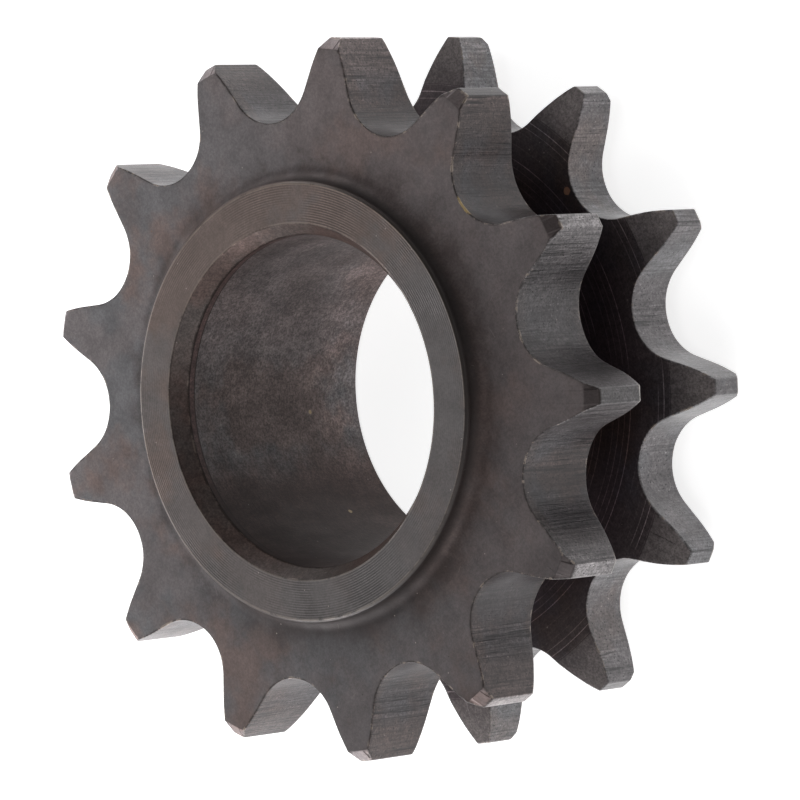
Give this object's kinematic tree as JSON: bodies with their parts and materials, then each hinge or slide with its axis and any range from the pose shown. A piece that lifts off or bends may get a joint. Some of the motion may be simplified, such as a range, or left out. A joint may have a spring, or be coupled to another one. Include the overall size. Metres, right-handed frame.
{
  "type": "chain sprocket",
  "caption": "Roller-chain sprocket: a broad toothed row and a thin toothed row turned on one body, with a raised boss at each end and a plain chamfered bore.",
  "frame": {"origin": "on the bore axis, in the plane of the back boss's end face, which the part stands on", "axes": "+Z along the bore axis towards the front boss and the broad row; +X through the middle of a tooth gap"},
  "size_m": [0.0863, 0.087, 0.0333],
  "materials": {
    "steel": "machined, chemically blackened steel with turning marks, bright worn edges and small nicks"
  },
  "bodies": {
    "root": {"sprocket": "steel"}
  },
  "joints": []
}
